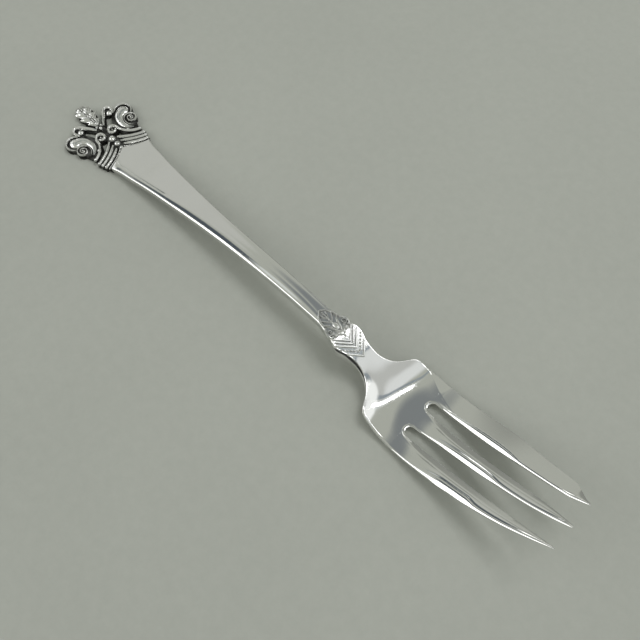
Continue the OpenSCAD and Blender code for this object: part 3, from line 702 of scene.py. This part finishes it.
def makeLeaf():
    bpy.ops.object.select_all(action="DESELECT")
    bpy.ops.mesh.primitive_grid_add(x_subdivisions=leaf["grid"][0], y_subdivisions=leaf["grid"][1], size=2)
    blade = bpy.context.object
    length = leaf["base"] - leaf["tip"]
    (lobeLow, lobeRise), (pillowLow, pillowRise) = leaf["lobeShares"], leaf["pillowShares"]
    (spine, spineWidth), (groove, grooveWidth, grooveAt) = leaf["spine"], leaf["grooves"]
    fromTip, fromBase, atEnds = leaf["ends"]
    for v in blade.data.vertices:
        s, t = (v.co.x + 1) / 2, v.co.y  # s runs from the tip to the base
        phase = leaf["lobes"] * s + leaf["phase"]
        lobe = 1 - phase % 1  # each lobe ends in a point towards the base
        lobe = min(lobe, leaf["lobePoint"] * (1 - lobe)) ** leaf["lobePower"]
        envelope = math.sin(math.pi * min(1, max(0.0, s)) ** leaf["envelope"]) ** leaf["envelopePower"]
        half = leaf["width"] / 2 * envelope * (lobeLow + lobeRise * lobe)
        pillow = abs(math.sin(math.pi * (phase + leaf["pillowSlant"] * abs(t) ** leaf["pillowBend"]))) ** 0.5
        z = (1 - leaf["fall"] * t * t) * (pillowLow + pillowRise * pillow)
        z += spine * math.exp(-(t / spineWidth) ** 2)
        z -= groove * math.exp(-((abs(t) - grooveAt) / grooveWidth) ** 2)
        z *= min(1, fromTip * s + atEnds, fromBase * (1 - s) + atEnds)
        x = leaf["tip"] + length * s - leaf["slant"] * t * t * half * (1 - s)
        v.co = Vector((x, t * half, plate["top"] + leaf["height"] * max(leaf["least"], z))) * mm
    bpy.ops.object.mode_set(mode="EDIT")
    bpy.ops.mesh.select_all(action="SELECT")
    bpy.ops.mesh.region_to_loop()
    bpy.ops.mesh.extrude_region_move(TRANSFORM_OT_translate={"value": (0, 0, -leaf["wall"] * mm)})
    bpy.ops.mesh.edge_face_add()
    bpy.ops.mesh.select_all(action="SELECT")
    bpy.ops.mesh.remove_doubles(threshold=1e-6)
    bpy.ops.mesh.normals_make_consistent(inside=False)
    bpy.ops.object.mode_set(mode="OBJECT")
    return blade


leafParts = [makeLeaf(), strand(*leaf["vein"], 1.0, lambda x, y: leaf["veinHeight"])]
joinParts(leafParts, "leaf", ["terminal_leaf"], relief)
leafKnot = [((-64.5, 0), 0.52, 0.75), ((-65.35, 0.62), 0.34, 0.6), ((-65.35, -0.62), 0.34, 0.6)]
joinParts([knob(*bud) for bud in leafKnot], "leafKnot", ["leaf_knot"], relief)

# Scrolls: a strand has its points, half widths and rise, a knob its place, radius and height
hookScroll = {
    "stem": ([(-64.75, 1.0), (-65.9, 1.75), (-67.3, 2.85), (-68.6, 3.75), (-69.15, 4.5), (-68.85, 5.3),
              (-68.0, 5.72), (-67.05, 5.55), (-66.35, 5.0)],
             [0.35, 0.5, 0.6, 0.55, 0.46, 0.46, 0.5, 0.48, 0.35], 1.35),
    "ridge": ([(-65.1, 1.55), (-66.3, 2.4), (-67.5, 3.35), (-68.15, 4.1)], [0.16, 0.24, 0.24, 0.12], 2.2),
    "eye": ((-66.85, 4.4), 0.78, 0.85),
}
hookParts = [strand(*hookScroll["stem"]), strand(*hookScroll["ridge"]), knob(*hookScroll["eye"])]
left = joinParts(hookParts, "hookScrollLeft", ["hook_scroll_left"], relief)
mirrored(left, "hookScrollRight", ["hook_scroll_right"])

outerScroll = {
    "body": ([(-65.2, 7.5), (-65.0, 6.4), (-64.2, 5.3), (-62.8, 4.72), (-61.2, 4.72), (-59.9, 5.35), (-59.3, 6.3)],
             [1.25, 1.3, 1.12, 0.92, 0.72, 0.5, 0.25], 0.72), "bodySides": 5,
    "head": ((-65.15, 7.35), 1.5, 0.86),
    "rimTurn": ((-65.25, 7.4), 2.1, 2.1, 30, 235, 15), "rim": ([0.2, 0.3, 0.33, 0.32, 0.2], 1.9),
    "eye": (-61.9, 7.4),
    "outerTurn": (1.78, 0.95, 250, -90, 22, 0.92), "outer": ([0.2, 0.26, 0.26, 0.24], 2.3),
    "innerTurn": (0.95, 0.3, -90, -430, 16, 0.92), "inner": ([0.24, 0.2], 2.6),
    "dish": (1.5, 0.12), "dishStretch": (1, 0.95), "bud": (0.3, 0.75),
    "ridge": ([(-63.9, 7.9), (-63.7, 6.8), (-62.9, 5.95), (-61.6, 5.55), (-60.3, 5.85), (-59.7, 6.6)],
              [0.1, 0.17, 0.17, 0.16, 0.1], 3.4),
}
eye = outerScroll["eye"]
scrollParts = [
    strand(*outerScroll["body"], sides=outerScroll["bodySides"]),
    knob(*outerScroll["head"]),
    strand(whorl(*outerScroll["rimTurn"]), *outerScroll["rim"]),
    strand(whorl(eye, *outerScroll["outerTurn"]), *outerScroll["outer"]),
    strand(whorl(eye, *outerScroll["innerTurn"]), *outerScroll["inner"]),
    knob(eye, *outerScroll["dish"], stretch=outerScroll["dishStretch"]),
    knob(eye, *outerScroll["bud"]),
    strand(*outerScroll["ridge"]),
]
left = joinParts(scrollParts, "outerScrollLeft", ["outer_scroll_left"], relief)
mirrored(left, "outerScrollRight", ["outer_scroll_right"])

volute = {
    "eye": (-62.2, 1.78), "turn": (0.75, 1.2, 430, 115, 20),
    "tail": [(-62.1, 3.12), (-61.2, 3.2), (-60.2, 3.6), (-59.2, 4.3), (-58.35, 5.3), (-57.75, 6.35), (-57.55, 6.9)],
    "widths": [0.28, 0.42, 0.46, 0.48, 0.5, 0.46, 0.44, 0.45], "rise": 1.45,
    "bud": (0.24, 0.5), "end": ((-57.6, 6.85), 0.46, 0.7),
    "swell": ((-59.3, 4.55), 0.5, 0.72), "swellStretch": (1.1, 0.7), "swellTurn": 0.9,
}
voluteParts = [
    strand(whorl(volute["eye"], *volute["turn"]) + volute["tail"], volute["widths"], volute["rise"]),
    knob(volute["eye"], *volute["bud"]),
    knob(*volute["end"]),
    knob(*volute["swell"], stretch=volute["swellStretch"], turn=volute["swellTurn"]),
]
left = joinParts(voluteParts, "voluteLeft", ["volute_left"], relief)
mirrored(left, "voluteRight", ["volute_right"])

# Beads on the axis, each in a fine ring
axisBeads = {
    "beads": ((-60.05, 0.86), (-57.97, 0.72), (-56.31, 0.48)), "heightShare": 0.85,
    "ringGap": 0.02, "ring": ([0.13, 0.13], 1.6),
}
beadParts = []
for x, r in axisBeads["beads"]:
    ringRadius = r + axisBeads["ringGap"]
    beadParts += [knob((x, 0), r, r * axisBeads["heightShare"]),
                  strand(whorl((x, 0), ringRadius, ringRadius, 0, 360, 17), *axisBeads["ring"])]
joinParts(beadParts, "axisBeads", ["axis_beads"], relief)

reeds = {"starts": (1.15, 1.2, 1.25), "reed": ([0.3, 0.44, 0.44, 0.43, 0.4], 1.6), "end": (0.46, 0.68)}
reedParts = []
for radius, y0 in zip(plate["reeds"], reeds["starts"]):
    line = sweepArc(radius, y0)
    reedParts += [strand(line, *reeds["reed"]), knob(line[-1], *reeds["end"])]
left = joinParts(reedParts, "reedsLeft", ["reeds_left"], relief)
mirrored(left, "reedsRight", ["reeds_right"])

beadWire = {"start": 0.7, "beads": 17, "wire": ([0.2, 0.2], 1.5), "bead": (0.26, 0.62)}
line = sweepArc(plate["wire"], beadWire["start"], beadWire["beads"])
wireParts = [strand(line, *beadWire["wire"])] + [knob(place, *beadWire["bead"]) for place in line]
left = joinParts(wireParts, "beadWireLeft", ["bead_wire_left"], relief)
mirrored(left, "beadWireRight", ["bead_wire_right"])
print("ornamental end made")

# Palm: its blank, and a fine lip round the root of each slot
slotLips = {"overlap": 0.12, "run": 1.6, "lip": ([0.2, 0.36, 0.4, 0.26, 0.06], 0.6)}


def palmTop(x, y):
    return curveAt(blank["top"], x) + palmSag(x, y)


palmParts = [makeBlank("palm")]
for y in tines["slots"]:
    x, reach = tines["root"] + tines["slotRadius"], tines["slotRadius"] + slotLips["overlap"]
    ahead = x + slotLips["run"]
    path = [(ahead, y + reach)] + whorl((x, y), reach, reach, 90, 270, 13) + [(ahead, y - reach)]
    palmParts.append(strand(path, *slotLips["lip"], palmTop))
joinParts(palmParts, "palmBlank", ["palm"], polished, bodyAngle)
print("palm made")

# Ornament of the neck, on its sloping top, darkened in its creases only by painted shade and tarnishing; the left
# side's places are given
neckPaint = silverMaterial("neckSilver", 0.26, 0.3, ground=-9.0, reach=0.6, dark=0.9)
seatPaint = silverMaterial("neckGround", 0.07, 0.3, ground=-9.0, reach=0.85, dark=0.9)
neckLeaf = {
    "strands": [  # points, half widths, rise
        ([(12.25, 0), (12.8, 0.7), (13.5, 1.35), (14.3, 1.72), (15.6, 1.85)], [0.14, 0.2, 0.22, 0.24, 0.22], 1.9),
        ([(13.2, 0.75), (14.0, 0.5), (14.9, 0)], [0.13, 0.19, 0.13], 2.0),
        ([(14.1, 1.55), (15.0, 0.95), (15.8, 0.1)], [0.15, 0.22, 0.15], 2.0),
        ([(15.3, 1.8), (15.9, 1.3), (16.5, 0.95), (17.6, 0.85), (18.4, 0.25)], [0.18, 0.24, 0.24, 0.24, 0.18], 2.0),
    ],
    "buds": [((19.0, 0.62), 0.42, 0.5, (1.3, 0.7), -0.6), ((18.75, 1.45), 0.36, 0.5, (0.8, 1.3), 0.3)],
    "spine": ([(12.6, 0), (13.5, 0), (14.6, 0), (16, 0), (17.6, 0)], [0.1, 0.17, 0.17, 0.16, 0.08], 1.9),
    "middle": [((17.1, 0), 0.62, 0.36, (1.5, 1.0)), ((19.6, 0), 0.34, 0.45, (1.3, 0.8))],
}
neckScroll = {
    "eye": (17.35, 1.95), "turn": (0.22, 0.66, 420, -60, 20), "curl": ([0.12, 0.17, 0.2, 0.2], 2.0),
    "stem": ([(15.9, 1.9), (16.4, 2.4), (17.2, 2.75), (18.0, 2.75), (18.5, 2.45)],
             [0.15, 0.22, 0.25, 0.24, 0.15], 1.6),
    "bud": (0.16, 0.45), "end": ((18.45, 2.25), 0.3, 0.5), "endStretch": (0.8, 1.2),
}
chevrons = {
    "rise": 1.9, "slope": 0.93, "shares": (0.3, 0.6, 0.85),
    "reeds": ((21.2, 2.5, 0.19), (22.0, 2.75, 0.21), (22.9, 3.0, 0.21)),  # vertex, reach, half width
    "beadVertex": 23.95, "beadPlaces": (0.27, 0.78, 1.29, 1.8, 2.31, 2.8), "bead": (0.24, 0.42),
    "rim": (25.1, 2.45, 1.0), "rimWidth": 0.19,  # vertex, reach, slope
}


def neckTop(x, y):
    half = curveAt(blank["half"], x)
    return curveAt(blank["top"], x) + curveAt(blank["crown"], x) * max(0, 1 - (y / half) ** 2)


leafLines = []
for k in (1, -1):
    for points, widths, rise in neckLeaf["strands"]:
        leafLines.append(strand([(x, y * k) for x, y in points], widths, rise, neckTop))
    for (x, y), radius, height, stretch, turn in neckLeaf["buds"]:
        leafLines.append(knob((x, y * k), radius, height, neckTop, stretch, turn * k))
leafLines.append(strand(*neckLeaf["spine"], neckTop))
for place, radius, height, stretch in neckLeaf["middle"]:
    leafLines.append(knob(place, radius, height, neckTop, stretch))
joinParts(leafLines, "neckLeaf", ["neck_leaf"], neckPaint)

curlParts = [
    strand(whorl(neckScroll["eye"], *neckScroll["turn"]), *neckScroll["curl"], neckTop),
    strand(*neckScroll["stem"], neckTop),
    knob(neckScroll["eye"], *neckScroll["bud"], neckTop),
    knob(*neckScroll["end"], neckTop, neckScroll["endStretch"]),
]
left = joinParts(curlParts, "neckScrollLeft", ["neck_scroll_left"], neckPaint)
mirrored(left, "neckScrollRight", ["neck_scroll_right"])


def chevron(vertex, reach, slope=chevrons["slope"]):  # its two arms, from the vertex outwards
    places = [0] + [reach * share for share in chevrons["shares"]] + [reach]
    return [[(vertex - y * slope, y * k) for y in places] for k in (1, -1)]


ribs = []
for vertex, reach, r in chevrons["reeds"]:
    ribs += [strand(arm, [r, r], chevrons["rise"], neckTop) for arm in chevron(vertex, reach)]
joinParts(ribs, "neckReeds", ["neck_reeds"], neckPaint)

pearls = []
for k in (1, -1):
    for y in chevrons["beadPlaces"]:
        pearls.append(knob((chevrons["beadVertex"] - y * chevrons["slope"], y * k), *chevrons["bead"], neckTop))
joinParts(pearls, "neckBeads", ["neck_beads"], neckPaint)

rim = [strand(arm, [chevrons["rimWidth"]] * 2, chevrons["rise"], neckTop) for arm in chevron(*chevrons["rim"])]
joinParts(rim, "neckRim", ["neck_rim"], neckPaint)
bpy.data.objects["neckBlank"].data.materials[0] = seatPaint  # painted shade, with some tarnishing, darkens it where the ornament stands on it
print("neck ornament made")
